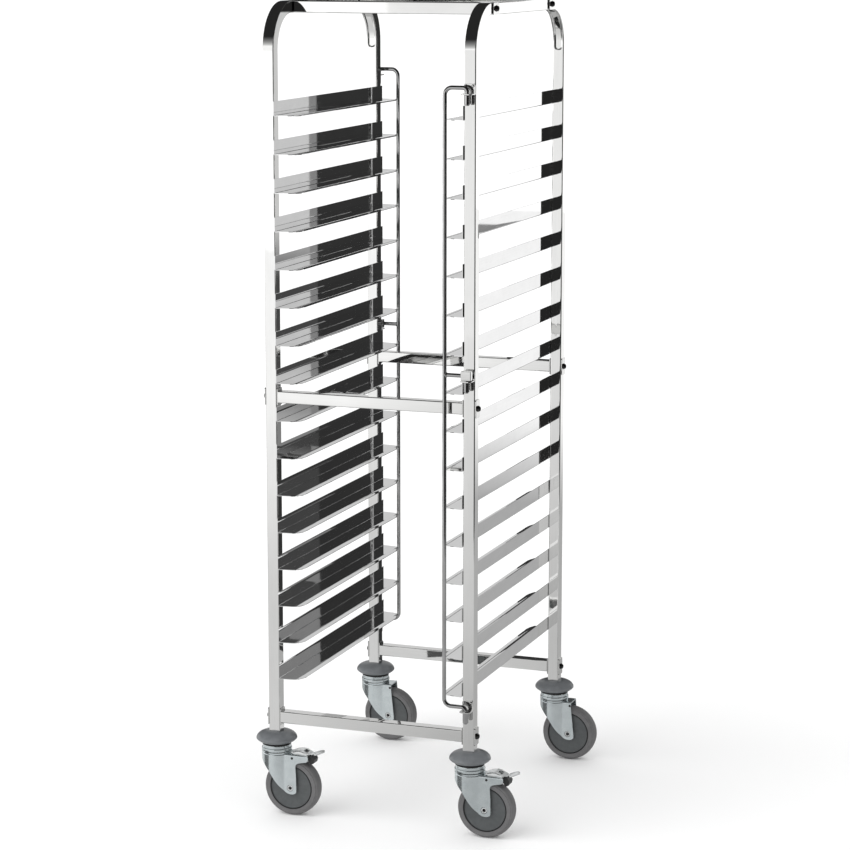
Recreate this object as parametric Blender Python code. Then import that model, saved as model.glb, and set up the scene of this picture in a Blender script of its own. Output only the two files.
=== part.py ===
"""Sheet pan rack: two bent-tube side frames joined by six rails, sixteen pairs of tray
runners, a lift-off swing bar at each end, and four swivel casters, two of them braked.

Metres, +Z up. The front of the rack faces -Y and the floor is z = 0. The casters all trail
towards +X, so the rack's own middle stands a little to the left of the origin, which is the
centre of the whole model's footprint.
"""
import math

import bmesh
import bpy
from mathutils import Matrix, Vector

# ---- Driving dimensions -------------------------------------------------------------------
HEIGHT = 1.735            # floor to the top of the side frames
WIDTH = 0.466             # over the outer faces of the posts
DEPTH = 0.615             # over the front and rear faces of the posts
TUBE = 0.025              # square tube, outside
WALL = 0.0012             # tube wall and runner sheet
TUBE_CORNER = 0.002       # outside corner radius of the tube
BEND_RADIUS = 0.100       # outside radius of the side frames' top corners
FOOT_Z = 0.184            # lower end of the posts
GAP = 0.0003              # between neighbouring pieces
CENTRE_X = -0.0335        # the rack's middle plane, seen from the model's origin

# Rails
LOW_RAIL_Z = 0.216
MIDDLE_RAIL_Z = 0.9133
TOP_RAIL_Y = 0.188

# Runners
LEVELS = 16
LOWEST_RUNNER_Z = 0.302
LEVEL_PITCH = 0.080
FLANGE_HEIGHT = 0.030
LEDGE = 0.0495            # ledge width from the post's inner face
LEDGE_SQUARE = 0.030      # stretch of the ledge's end that is nearly straight
HEM = 0.010               # turned edge strip along the ledge
HEM_DROP = 0.001
RUNNER_END_Y = 0.312      # half length at the flange
LEDGE_END_Y = 0.308       # half length where the corner starts to round
LEDGE_FULL_Y = 0.270      # half length of the full-width stretch
CORNER_STEPS = 6

# Swing bars
ROD_RADIUS = 0.00425
PIN_OFFSET = 0.0165       # pin axis in front of the post's face
BAR_REACH = 0.0475        # pin axis to the upright of the bar
BAR_ELBOW = 0.015
PIN_ELBOW = 0.009
BAR_TOP_Z = 1.569
BAR_LOW_Z = 0.285
BAR_MIDDLE_Z = 0.985
PIN_DROP = 0.036          # each pin's end below its arm
BLOCK = Vector((0.022, 0.012, 0.019))
BRACKET_WIDTH = 0.0244
BRACKET_HEIGHT = 0.020
BRACKET_SHEET = 0.002
BRACKET_REACH = 0.0255    # plate's back to the tip of its shelf
BRACKET_BELOW_ARM = (0.012, 0.009)    # shelf's top under the bar's upper and lower arm
PIN_CLEARANCE = 0.0004

# Casters, measured from the swivel axis; the wheel trails towards +X
WHEEL_RADIUS = 0.0625
WHEEL_HALF = 0.016
AXLE_X = 0.0385
AXLE_RADIUS = 0.005
AXLE_BORE = 0.0054
BUMPER_RADIUS = 0.044
RACE_RADIUS = 0.0325
RACE_TOP = 0.158
RACE_BOTTOM = 0.141
LOWER_RACE_TOP = 0.1405
FORK_TOP = 0.1375
FORK_SHEET = 0.0026
FORK_NOSE = 0.032         # radius of the fork's round front
FORK_HALF = 0.021         # half width over the flat sides
FORK_REAR_X = 0.046
KINGPIN_RADIUS = 0.008
KINGPIN_HEAD = 0.013
KINGPIN_END = 0.131
STEM_HALF = 0.01075
STEM_TOP = 0.205
PEDAL_PIVOT = Vector((0.066, 0.0, 0.129))
PEDAL_HALF = 0.0165
PEDAL_PIN = 0.0025
PEDAL_PIN_BORE = 0.0029

# Facets round a turn
ROD_SIDES = 12
WHEEL_SIDES = 32
STEM_SIDES = 24
BEND_STEPS = 8
ELBOW_STEPS = 4

POST_X = WIDTH / 2 - TUBE / 2
POST_Y = DEPTH / 2 - TUBE / 2
INNER_X = WIDTH / 2 - TUBE


# ---- Materials ----------------------------------------------------------------------------
def principled(name, colour, roughness, metallic):
    material = bpy.data.materials.new(name)
    material.use_nodes = True
    shader = material.node_tree.nodes["Principled BSDF"]
    shader.inputs["Base Color"].default_value = (*colour, 1.0)
    shader.inputs["Roughness"].default_value = roughness
    shader.inputs["Metallic"].default_value = metallic
    material.diffuse_color = (*colour, 1.0)
    return material


def make_materials():
    return {
        "tube": principled("polished_tube", (0.72, 0.72, 0.71), 0.18, 1.0),
        "rail": principled("polished_rail", (0.72, 0.72, 0.71), 0.18, 1.0),
        "runner": principled("runner_sheet", (0.70, 0.70, 0.70), 0.24, 1.0),
        "rod": principled("bright_rod", (0.66, 0.66, 0.66), 0.12, 1.0),
        "bracket": principled("bracket_sheet", (0.62, 0.62, 0.62), 0.28, 1.0),
        "stem": principled("grey_bumper", (0.27, 0.28, 0.29), 0.55, 0.0),
        "fork": principled("zinc_fork", (0.60, 0.60, 0.59), 0.32, 1.0),
        "wheel": principled("grey_wheel", (0.30, 0.29, 0.28), 0.60, 0.0),
        "pedal": principled("pedal_steel", (0.58, 0.58, 0.57), 0.35, 1.0),
    }


# ---- Mesh helpers -------------------------------------------------------------------------
def mesh_from(name, build):
    """A mesh that the function build fills in, with its faces pointing out."""
    bm = bmesh.new()
    build(bm)
    bmesh.ops.remove_doubles(bm, verts=bm.verts, dist=1e-6)
    bmesh.ops.recalc_face_normals(bm, faces=bm.faces)
    mesh = bpy.data.meshes.new(name)
    bm.to_mesh(mesh)
    bm.free()
    return mesh


def loop_faces(bm, first, second):
    """Quads between two closed rings of the same number of vertices."""
    count = len(first)
    for i in range(count):
        j = (i + 1) % count
        bm.faces.new((first[i], first[j], second[j], second[i]))


def rounded_square(half, radius, steps=2):
    """Points round a square with rounded corners, anticlockwise."""
    points = []
    for corner in range(4):
        start = math.radians(90 * corner)
        centre = Vector((half - radius, half - radius))
        centre.rotate(Matrix.Rotation(start, 2))
        for step in range(steps + 1):
            angle = start + math.radians(90) * step / steps
            points.append(centre + radius * Vector((math.cos(angle), math.sin(angle))))
    return points


def circle(radius, sides, phase=0.0):
    """Points round a circle; phase shifts them by a part of one step."""
    angles = [math.tau * (i + phase) / sides for i in range(sides)]
    return [Vector((radius * math.cos(angle), radius * math.sin(angle))) for angle in angles]


def rounded_path(corners, radii, steps):
    """Stations (point, direction) along a flat path whose inner corners are rounded."""
    corners = [Vector(corner) for corner in corners]
    first = (corners[1] - corners[0]).normalized()
    last = (corners[-1] - corners[-2]).normalized()
    stations = [(corners[0], first)]
    for before, corner, after, radius in zip(corners, corners[1:], corners[2:], radii):
        come = (corner - before).normalized()
        leave = (after - corner).normalized()
        turn = math.atan2(come.x * leave.y - come.y * leave.x, come.dot(leave))
        side = math.copysign(1.0, turn)
        start = corner - come * radius * math.tan(abs(turn) / 2)
        centre = start + side * radius * Vector((-come.y, come.x))
        for step in range(steps + 1):
            spin = Matrix.Rotation(turn * step / steps, 2)
            stations.append((centre + spin @ (start - centre), spin @ come))
    stations.append((corners[-1], last))
    return stations


def sweep_rings(bm, stations, outline, place):
    """One ring of vertices at each station; place turns (across, u, w) into a point."""
    rings = []
    for point, direction in stations:
        normal = Vector((direction.y, -direction.x))
        ring = []
        for across, out in outline:
            spot = point + normal * out
            ring.append(bm.verts.new(place(across, spot.x, spot.y)))
        rings.append(ring)
    return rings


def swept_rod(name, stations, radius, place):
    def build(bm):
        rings = sweep_rings(bm, stations, circle(radius, ROD_SIDES), place)
        for first, second in zip(rings, rings[1:]):
            loop_faces(bm, first, second)
        bm.faces.new(rings[0])
        bm.faces.new(rings[-1])
    return mesh_from(name, build)


def swept_tube(name, stations, place):
    """Square tube with open ends."""
    def build(bm):
        outer = sweep_rings(bm, stations, rounded_square(TUBE / 2, TUBE_CORNER), place)
        bore = rounded_square(TUBE / 2 - WALL, TUBE_CORNER - WALL)
        inner = sweep_rings(bm, stations, bore, place)
        for rings in (outer, inner):
            for first, second in zip(rings, rings[1:]):
                loop_faces(bm, first, second)
        loop_faces(bm, outer[0], inner[0])
        loop_faces(bm, outer[-1], inner[-1])
    return mesh_from(name, build)


def prism(name, outline, place, low, high):
    """Solid of a flat outline between two planes; place turns (a, b, along) into a point."""
    def build(bm):
        rings = [[bm.verts.new(place(a, b, along)) for a, b in outline] for along in (low, high)]
        loop_faces(bm, *rings)
        bm.faces.new(rings[0])
        bm.faces.new(rings[1])
    return mesh_from(name, build)


def upright(a, b, along):
    return (a, b, along)


def sideways(a, b, along):
    return (a, along, b)


def crosswise(a, b, along):
    return (along, a, b)


def disc(name, centre, radius, place, low, high, sides=ROD_SIDES, phase=0.0):
    outline = [(centre[0] + spot.x, centre[1] + spot.y) for spot in circle(radius, sides, phase)]
    return prism(name, outline, place, low, high)


def turned(name, profile, sides, place, closed=False):
    """Profile of (radius, height) turned round an axis; place sets which axis."""
    def build(bm):
        rings = []
        for radius, height in profile:
            if radius == 0:
                rings.append([bm.verts.new(place(0, 0, height))] * sides)
                continue
            spots = circle(radius, sides)
            rings.append([bm.verts.new(place(spot.x, spot.y, height)) for spot in spots])
        pairs = list(zip(rings, rings[1:]))
        if closed:
            pairs.append((rings[-1], rings[0]))
        for first, second in pairs:
            for i in range(sides):
                j = (i + 1) % sides
                corners = [first[i], first[j], second[j], second[i]]
                bm.faces.new(list(dict.fromkeys(corners)))
    return mesh_from(name, build)


def combined(name, base, steps):
    """The mesh left after a list of (Boolean operation, mesh) steps on a base mesh."""
    body = bpy.data.objects.new(name, base)
    bpy.context.scene.collection.objects.link(body)
    helpers = []
    for operation, mesh in steps:
        helper = bpy.data.objects.new(f"{name}_helper", mesh)
        helper.hide_render = True
        helper.display_type = "WIRE"
        bpy.context.scene.collection.objects.link(helper)
        helpers.append(helper)
        modifier = body.modifiers.new("combine", "BOOLEAN")
        modifier.operation = operation
        modifier.solver = "EXACT"
        modifier.object = helper
    graph = bpy.context.evaluated_depsgraph_get()
    result = bpy.data.meshes.new_from_object(body.evaluated_get(graph))
    result.name = name
    for item in (body, *helpers):
        bpy.data.objects.remove(item)
    return result


def add(name, mesh, material, place=(0, 0, 0), turn=0.0, parent=None):
    """One named sub-part; meshes may be shared between copies."""
    if not mesh.materials:
        mesh.materials.append(material)
        mesh.shade_smooth()
        mesh.set_sharp_from_angle(angle=math.radians(30))
    item = bpy.data.objects.new(name, mesh)
    item.location = place
    item.rotation_euler.z = turn
    item.parent = parent
    bpy.context.scene.collection.objects.link(item)
    return item


def axis_empty(name, place, turn=0.0, parent=None):
    item = bpy.data.objects.new(name, None)
    item.empty_display_size = 0.03
    item.location = place
    item.rotation_euler.z = turn
    item.parent = parent
    bpy.context.scene.collection.objects.link(item)
    return item


# ---- Side frames and rails ----------------------------------------------------------------
def side_frame_mesh():
    """Inverted U in the plane x = 0: two posts, two bends and the top run."""
    top = HEIGHT - TUBE / 2
    corners = [(-POST_Y, FOOT_Z), (-POST_Y, top), (POST_Y, top), (POST_Y, FOOT_Z)]
    radius = BEND_RADIUS - TUBE / 2
    stations = rounded_path(corners, [radius] * 2, BEND_STEPS)
    return swept_tube("side_frame", stations, upright)


def rail_mesh():
    """Straight tube along X that fits between the side frames."""
    half = INNER_X - GAP
    stations = [(Vector((-half, 0)), Vector((1, 0))), (Vector((half, 0)), Vector((1, 0)))]
    return swept_tube("rail", stations, lambda across, u, w: (u, across, w))


def make_frame(materials):
    frame_mesh = side_frame_mesh()
    for side, sign in (("left", -1), ("right", 1)):
        add(f"{side}_side_frame", frame_mesh, materials["tube"], (CENTRE_X + sign * POST_X, 0, 0))
    mesh = rail_mesh()
    rails = (("bottom", POST_Y, LOW_RAIL_Z), ("middle", POST_Y, MIDDLE_RAIL_Z),
             ("top", TOP_RAIL_Y, HEIGHT - TUBE / 2))
    for level, y, z in rails:
        for end, sign in (("front", -1), ("rear", 1)):
            add(f"{end}_{level}_rail", mesh, materials["rail"], (CENTRE_X, sign * y, z))


# ---- Runners ------------------------------------------------------------------------------
def runner_columns():
    """(inward, half length) across a runner, from the post's face to the ledge's edge."""
    columns = [(0.0, RUNNER_END_Y), (WALL, RUNNER_END_Y)]
    for step in range(CORNER_STEPS + 1):
        angle = math.radians(90) * step / CORNER_STEPS
        inward = LEDGE_SQUARE + (LEDGE - LEDGE_SQUARE) * math.sin(angle)
        length = LEDGE_FULL_Y + (LEDGE_END_Y - LEDGE_FULL_Y) * math.cos(angle)
        columns.append((inward, length))
    return columns


def runner_mesh():
    """Angle of sheet: a flange against the posts and a ledge with rounded corners.

    Local x runs inward from the post's face, y along the runner, z up from the ledge's
    underside.
    """
    columns = runner_columns()

    def drop(inward):
        return HEM_DROP * max(0.0, (inward - LEDGE + HEM) / HEM)

    def build(bm):
        ends = []
        for sign in (-1, 1):
            low = [bm.verts.new((x, sign * y, -drop(x))) for x, y in columns]
            high = [bm.verts.new((x, sign * y, WALL - drop(x))) for x, y in columns]
            lip = [bm.verts.new((x, sign * y, FLANGE_HEIGHT)) for x, y in columns[:2]]
            for i in range(len(columns) - 1):
                bm.faces.new((low[i], low[i + 1], high[i + 1], high[i]))
            bm.faces.new((high[0], high[1], lip[1], lip[0]))
            ends.append(low + high[:0:-1] + lip[::-1] + high[:1])
        loop_faces(bm, *ends)
    return mesh_from("runner", build)


def make_runners(materials):
    mesh = runner_mesh()
    for side, sign, turn in (("left", -1, 0.0), ("right", 1, math.pi)):
        x = CENTRE_X + sign * (INNER_X - GAP)
        for level in range(LEVELS):
            z = LOWEST_RUNNER_Z + (LEVELS - 1 - level) * LEVEL_PITCH
            name = f"{side}_runner_{level + 1:02d}"
            add(name, mesh, materials["runner"], (x, 0, z), turn)


# ---- Swing bars and their brackets --------------------------------------------------------
def swing_bar_mesh():
    """Bar in its own frame: the pin axis is x = y = 0 and the upright is at -BAR_REACH."""
    corners = [(0, BAR_TOP_Z - PIN_DROP), (0, BAR_TOP_Z), (-BAR_REACH, BAR_TOP_Z),
               (-BAR_REACH, BAR_LOW_Z), (0, BAR_LOW_Z), (0, BAR_LOW_Z - PIN_DROP)]
    radii = [PIN_ELBOW, BAR_ELBOW, BAR_ELBOW, PIN_ELBOW]
    stations = rounded_path(corners, radii, ELBOW_STEPS)
    rod = swept_rod("rod", stations, ROD_RADIUS, lambda across, u, w: (u, across, w))
    slim = ROD_RADIUS * 0.95
    arm = disc("arm", (0, BAR_MIDDLE_Z), slim, crosswise, -BAR_REACH, 0, phase=0.5)
    pin = disc("pin", (0, 0), slim, upright, BAR_MIDDLE_Z - PIN_DROP, BAR_MIDDLE_Z)
    half = BLOCK / 2
    square = [(-half.x, -half.y), (half.x, -half.y), (half.x, half.y), (-half.x, half.y)]
    block = prism("block", square, upright, BAR_MIDDLE_Z - half.z, BAR_MIDDLE_Z + half.z)
    return combined("swing_bar", rod, [("UNION", arm), ("UNION", block), ("UNION", pin)])


def bracket_mesh():
    """Plate on the post's face with a shelf that carries the pin, top of the shelf at z = 0.

    The pin axis is x = y = 0 and the post's face is at y = PIN_OFFSET.
    """
    back = PIN_OFFSET - GAP
    front = back - BRACKET_REACH
    section = [(back, -BRACKET_SHEET), (back, BRACKET_HEIGHT),
               (back - BRACKET_SHEET, BRACKET_HEIGHT), (back - BRACKET_SHEET, 0),
               (front, 0), (front, -BRACKET_SHEET)]
    plate = prism("bracket", section, crosswise, -BRACKET_WIDTH / 2, BRACKET_WIDTH / 2)
    bore = disc("bore", (0, 0), ROD_RADIUS + PIN_CLEARANCE, upright, -0.01, 0.01)
    return combined("hinge_bracket", plate, [("DIFFERENCE", bore)])


def make_swing_bars(materials):
    bar = swing_bar_mesh()
    bracket = bracket_mesh()
    arms = (("upper", BAR_TOP_Z, BRACKET_BELOW_ARM[0]), ("lower", BAR_LOW_Z, BRACKET_BELOW_ARM[1]))
    for end, sign, turn in (("front", 1, 0.0), ("rear", -1, math.pi)):
        x = CENTRE_X + sign * POST_X
        y = -sign * (DEPTH / 2 + PIN_OFFSET)
        hinge = axis_empty(f"{end}_bar_hinge", (x, y, 0), turn)
        add(f"{end}_swing_bar", bar, materials["rod"], parent=hinge)
        for level, arm_z, below in arms:
            name = f"{end}_{level}_hinge_bracket"
            add(name, bracket, materials["bracket"], (x, y, arm_z - below), turn)


# ---- Casters ------------------------------------------------------------------------------
def stem_mesh():
    """Kingpin, upper race and bumper turned in one, with the square stem that fills the post."""
    profile = [(0, KINGPIN_END), (KINGPIN_HEAD, KINGPIN_END), (KINGPIN_HEAD, KINGPIN_END + 0.0035),
               (KINGPIN_RADIUS, KINGPIN_END + 0.0035), (KINGPIN_RADIUS, RACE_BOTTOM),
               (RACE_RADIUS, RACE_BOTTOM), (RACE_RADIUS, 0.147), (0.031, 0.149),
               (0.031, RACE_TOP), (0.039, 0.1595), (BUMPER_RADIUS, 0.166), (0.041, 0.172),
               (0.032, 0.179), (0.021, FOOT_Z - GAP), (0, FOOT_Z - GAP)]
    body = turned("stem_body", profile, STEM_SIDES, upright)
    half = STEM_HALF
    square = [(-half, -half), (half, -half), (half, half), (-half, half)]
    stem = prism("square_stem", square, upright, RACE_TOP, STEM_TOP)
    return combined("caster_stem", body, [("UNION", stem)])


def fork_plan(nose, half, rear):
    """Outline seen from above: a round nose that runs into two flat sides."""
    shoulder = math.degrees(math.asin(half / nose)) + 6
    points = []
    steps = 14
    for step in range(steps + 1):
        angle = math.radians(shoulder + (360 - 2 * shoulder) * step / steps)
        points.append((nose * math.cos(angle), nose * math.sin(angle)))
    blend = nose * math.cos(math.radians(shoulder)) + 0.006
    return [(blend, half), *points, (blend, -half), (rear, -half), (rear, half)]


def fork_side(braked):
    """Outline of the fork seen from the side, as (x, z)."""
    front = [(-0.034, FORK_TOP), (-0.034, 0.125), (-0.030, 0.1235), (-0.007, 0.100),
             (0.010, 0.074), (0.027, 0.0545), (0.034, 0.050), (0.040, 0.049), (0.047, 0.0495),
             (0.0535, 0.0545), (0.0525, 0.060)]
    if not braked:
        return front + [(0.0495, 0.090), (FORK_REAR_X, 0.134), (FORK_REAR_X, FORK_TOP)]
    return front + [(0.0513, 0.1127), (0.058, 0.120), (0.0774, 0.124), (0.0805, 0.1316),
                    (0.0800, 0.1355), (FORK_REAR_X, FORK_TOP)]


def fork_mesh(braked):
    """Folded shell round the wheel's top, open below and behind, with its race and axle."""
    reach = 0.1
    shell = prism("shell", fork_plan(FORK_NOSE, FORK_HALF, reach), upright, 0.03, FORK_TOP)
    side = prism("side", fork_side(braked), sideways, -0.05, 0.05)
    plan = fork_plan(FORK_NOSE - FORK_SHEET, FORK_HALF - FORK_SHEET, reach + 0.01)
    hollow = prism("hollow", plan, upright, 0.0, FORK_TOP - FORK_SHEET)
    race = disc("race", (0, 0), RACE_RADIUS, upright, FORK_TOP - 0.001, LOWER_RACE_TOP, STEM_SIDES)
    bore = disc("bore", (0, 0), KINGPIN_RADIUS + 0.0005, upright, 0.12, 0.15, STEM_SIDES)
    axle_half = FORK_HALF - FORK_SHEET / 2
    axle = disc("axle", (AXLE_X, WHEEL_RADIUS), AXLE_RADIUS, sideways, -axle_half, axle_half, 16)
    steps = [("INTERSECT", side), ("DIFFERENCE", hollow), ("UNION", race), ("DIFFERENCE", bore),
             ("UNION", axle)]
    if braked:
        half = FORK_HALF - FORK_SHEET
        mouth = [(FORK_REAR_X, -half), (reach, -half), (reach, half), (FORK_REAR_X, half)]
        steps.append(("DIFFERENCE", prism("mouth", mouth, upright, 0.1, 0.15)))
        pin = disc("pin", (PEDAL_PIVOT.x, PEDAL_PIVOT.z), PEDAL_PIN_BORE, sideways, -0.03, 0.03)
        steps.append(("DIFFERENCE", pin))
    return combined("braked_fork" if braked else "plain_fork", shell, steps)


def wheel_mesh():
    """Wheel turned round Y: bore, recessed web, rim and crowned tread."""
    half = WHEEL_HALF
    side = [(AXLE_BORE, half), (0.014, half), (0.0155, half - 0.0025), (0.0455, half - 0.0025),
            (0.048, half), (0.0575, half), (WHEEL_RADIUS, half - 0.0085)]
    profile = side + [(radius, -y) for radius, y in side[::-1]]
    return turned("wheel", profile, WHEEL_SIDES, sideways, closed=True)


def pedal_mesh():
    """Brake pedal in its own frame, with the pivot at the origin."""
    outline = [(0.036, 0.1392), (0.048, 0.1392), (0.058, 0.130), (0.066, 0.1245), (0.0755, 0.1265),
               (0.076, 0.119), (0.084, 0.116), (0.093, 0.121), (0.093, 0.1365), (0.100, 0.1370),
               (0.111, 0.1395), (0.111, 0.1418), (0.100, 0.1393), (0.086, 0.1392),
               (0.078, 0.1400), (0.068, 0.1445), (0.058, 0.1468), (0.046, 0.1445),
               (0.036, 0.1415)]
    local = [(x - PEDAL_PIVOT.x, z - PEDAL_PIVOT.z) for x, z in outline]
    body = prism("pedal", local, sideways, -PEDAL_HALF, PEDAL_HALF)
    half = FORK_HALF - 0.0003
    pin = disc("pin", (0, 0), PEDAL_PIN, sideways, -half, half)
    return combined("brake_pedal", body, [("UNION", pin)])


def make_casters(materials):
    stem = stem_mesh()
    wheel = wheel_mesh()
    pedal = pedal_mesh()
    forks = {"front": fork_mesh(braked=True), "rear": fork_mesh(braked=False)}
    for end, y in (("front", -POST_Y), ("rear", POST_Y)):
        for side, x in (("left", CENTRE_X - POST_X), ("right", CENTRE_X + POST_X)):
            corner = f"{end}_{side}"
            add(f"{corner}_caster_stem", stem, materials["stem"], (x, y, 0))
            swivel = axis_empty(f"{corner}_swivel_axis", (x, y, 0))
            add(f"{corner}_caster_fork", forks[end], materials["fork"], parent=swivel)
            add(f"{corner}_wheel", wheel, materials["wheel"], (AXLE_X, 0, WHEEL_RADIUS), parent=swivel)
            if end == "front":
                add(f"{corner}_brake_pedal", pedal, materials["pedal"], PEDAL_PIVOT, parent=swivel)


def main():
    for item in list(bpy.data.objects):
        bpy.data.objects.remove(item)
    materials = make_materials()
    make_frame(materials)
    make_runners(materials)
    make_swing_bars(materials)
    make_casters(materials)


main()
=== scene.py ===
import math

import bmesh
import bpy
from mathutils import Matrix, Vector


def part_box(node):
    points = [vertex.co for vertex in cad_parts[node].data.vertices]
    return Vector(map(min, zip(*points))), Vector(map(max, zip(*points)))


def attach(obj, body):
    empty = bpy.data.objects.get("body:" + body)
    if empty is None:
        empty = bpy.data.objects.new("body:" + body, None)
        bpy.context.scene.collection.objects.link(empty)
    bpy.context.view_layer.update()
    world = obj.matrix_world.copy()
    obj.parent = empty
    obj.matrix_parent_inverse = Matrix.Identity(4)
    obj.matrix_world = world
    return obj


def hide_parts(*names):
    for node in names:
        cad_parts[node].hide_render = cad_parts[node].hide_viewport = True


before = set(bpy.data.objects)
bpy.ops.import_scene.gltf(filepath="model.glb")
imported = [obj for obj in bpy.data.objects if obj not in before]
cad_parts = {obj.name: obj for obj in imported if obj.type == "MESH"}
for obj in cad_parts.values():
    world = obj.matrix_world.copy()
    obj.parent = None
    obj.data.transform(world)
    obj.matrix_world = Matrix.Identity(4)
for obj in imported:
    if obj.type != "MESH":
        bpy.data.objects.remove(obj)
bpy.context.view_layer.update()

GRAIN = "Grain"

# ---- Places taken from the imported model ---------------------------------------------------
LEFT_LOW, LEFT_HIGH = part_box("left_side_frame")
RIGHT_LOW, RIGHT_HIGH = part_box("right_side_frame")
TUBE = LEFT_HIGH.x - LEFT_LOW.x
TOP_Z = LEFT_HIGH.z
FOOT_Z = LEFT_LOW.z
FACE_Y = LEFT_HIGH.y
POST_Y = FACE_Y - TUBE / 2
POST_X = {"left": (LEFT_LOW.x + LEFT_HIGH.x) / 2, "right": (RIGHT_LOW.x + RIGHT_HIGH.x) / 2}
CENTRE_X = (POST_X["left"] + POST_X["right"]) / 2
INWARD = {"left": 1, "right": -1}
TURN = {"left": 0.0, "right": math.pi}

# ---- Shared sizes -------------------------------------------------------------------------
WALL = 0.0012
TUBE_CORNER = 0.0021
BEND_RADIUS = 0.100
GROOVE_HALF = 0.0085
GROOVE_DEPTH = 0.0016
GROOVE_TAIL = 0.012
BEND_STEPS = 32

ROD_RADIUS = 0.00425
PIN_OFFSET = 0.0165
BAR_REACH = 0.0475
BAR_ELBOW = 0.015
PIN_ELBOW = 0.009
PIN_DROP = 0.036
BLOCK = Vector((0.022, 0.012, 0.019))

WHEEL_HALF = 0.016
FORK_TOP = 0.1375
FORK_SHEET = 0.0026
FORK_NOSE = 0.032
FORK_HALF = 0.021
FORK_FILLET = 0.006
FORK_REAR_X = 0.046
AXLE_X = 0.0385
WHEEL_CENTRE_Z = 0.0625


# ---- Node materials -----------------------------------------------------------------------
class Look:
    """One procedural material and short ways to add nodes to it."""

    def __init__(self, name, metallic, coat=0.0):
        self.material = bpy.data.materials.new(name)
        self.material.use_nodes = True
        self.tree = self.material.node_tree
        self.shader = self.tree.nodes["Principled BSDF"]
        self.shader.inputs["Metallic"].default_value = metallic
        self.shader.inputs["Coat Weight"].default_value = coat
        grain = self.tree.nodes.new("ShaderNodeUVMap")
        grain.uv_map = GRAIN
        info = self.tree.nodes.new("ShaderNodeObjectInfo")
        shift = self.math("MULTIPLY", info.outputs["Random"], 37.0)
        place = self.tree.nodes.new("ShaderNodeVectorMath")
        place.operation = "ADD"
        self.link(grain.outputs["UV"], place.inputs[0])
        self.link(shift, place.inputs[1])
        self.grain = place.outputs[0]

    def link(self, output, target):
        self.tree.links.new(output, target)

    def put(self, socket, value):
        if isinstance(value, bpy.types.NodeSocket):
            self.link(value, socket)
        else:
            socket.default_value = value

    def math(self, operation, first, second=0.0, clamp=False):
        node = self.tree.nodes.new("ShaderNodeMath")
        node.operation = operation
        node.use_clamp = clamp
        self.put(node.inputs[0], first)
        self.put(node.inputs[1], second)
        return node.outputs[0]

    def noise(self, scale, detail=3.0, rough=0.55, seed=0.0):
        """Noise over the grain map; scale is cycles per metre along and across it."""
        mapping = self.tree.nodes.new("ShaderNodeMapping")
        mapping.inputs["Scale"].default_value = (scale[0], scale[1], 1.0)
        mapping.inputs["Location"].default_value = (seed, seed * 1.7, seed * 0.3)
        self.link(self.grain, mapping.inputs["Vector"])
        node = self.tree.nodes.new("ShaderNodeTexNoise")
        node.inputs["Scale"].default_value = 1.0
        node.inputs["Detail"].default_value = detail
        node.inputs["Roughness"].default_value = rough
        self.link(mapping.outputs[0], node.inputs["Vector"])
        return node.outputs["Fac"]

    def cells(self, scale, seed=0.0):
        """Distance to the nearest of scattered points, used for the pebble grain."""
        mapping = self.tree.nodes.new("ShaderNodeMapping")
        mapping.inputs["Scale"].default_value = (scale[0], scale[1], 1.0)
        mapping.inputs["Location"].default_value = (seed, seed, seed)
        self.link(self.grain, mapping.inputs["Vector"])
        node = self.tree.nodes.new("ShaderNodeTexVoronoi")
        node.inputs["Scale"].default_value = 1.0
        self.link(mapping.outputs[0], node.inputs["Vector"])
        return node

    def span(self, value, low, high, start=0.3, stop=0.7):
        node = self.tree.nodes.new("ShaderNodeMapRange")
        self.put(node.inputs["Value"], value)
        node.inputs["From Min"].default_value = start
        node.inputs["From Max"].default_value = stop
        node.inputs["To Min"].default_value = low
        node.inputs["To Max"].default_value = high
        return node.outputs["Result"]

    def mix(self, fraction, first, second):
        node = self.tree.nodes.new("ShaderNodeMix")
        node.data_type = "RGBA"
        self.put(node.inputs["Factor"], fraction)
        colours = [s for s in node.inputs if s.type == "RGBA"]
        for socket, value in zip(colours, (first, second)):
            self.put(socket, value if isinstance(value, bpy.types.NodeSocket) else (*value, 1.0))
        return next(s for s in node.outputs if s.type == "RGBA")

    def finish(self, colour, roughness, height=None, depth=0.0, strength=1.0):
        self.put(self.shader.inputs["Base Color"], colour)
        self.put(self.shader.inputs["Roughness"], roughness)
        if height is not None:
            bump = self.tree.nodes.new("ShaderNodeBump")
            bump.inputs["Strength"].default_value = strength
            bump.inputs["Distance"].default_value = depth
            self.link(height, bump.inputs["Height"])
            self.link(bump.outputs[0], self.shader.inputs["Normal"])
        return self.material


def drawn_steel(name, dark, light, smooth, rough, streak=900.0, depth=1.2e-6):
    """Polished steel with fine draw lines along the piece, cloudy wipe marks and hair scratches."""
    look = Look(name, 1.0)
    lines = look.noise((5.0, streak), 4.0, 0.6)
    clouds = look.noise((16.0, 30.0), 4.0, 0.6, seed=3.1)
    hair = look.span(look.noise((28.0, 2600.0), 1.0, 0.4, seed=7.7), 0.0, 1.0, 0.70, 0.76)
    shade = look.math("ADD", look.math("MULTIPLY", lines, 0.45), look.math("MULTIPLY", clouds, 0.55))
    colour = look.mix(look.span(shade, 0.0, 1.0, 0.35, 0.65), dark, light)
    colour = look.mix(look.math("MULTIPLY", hair, 0.16), colour, (0.50, 0.50, 0.49))
    gloss = look.span(clouds, smooth, rough)
    gloss = look.math("ADD", gloss, look.math("MULTIPLY", hair, 0.10), clamp=True)
    return look.finish(colour, gloss, lines, depth)


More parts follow.
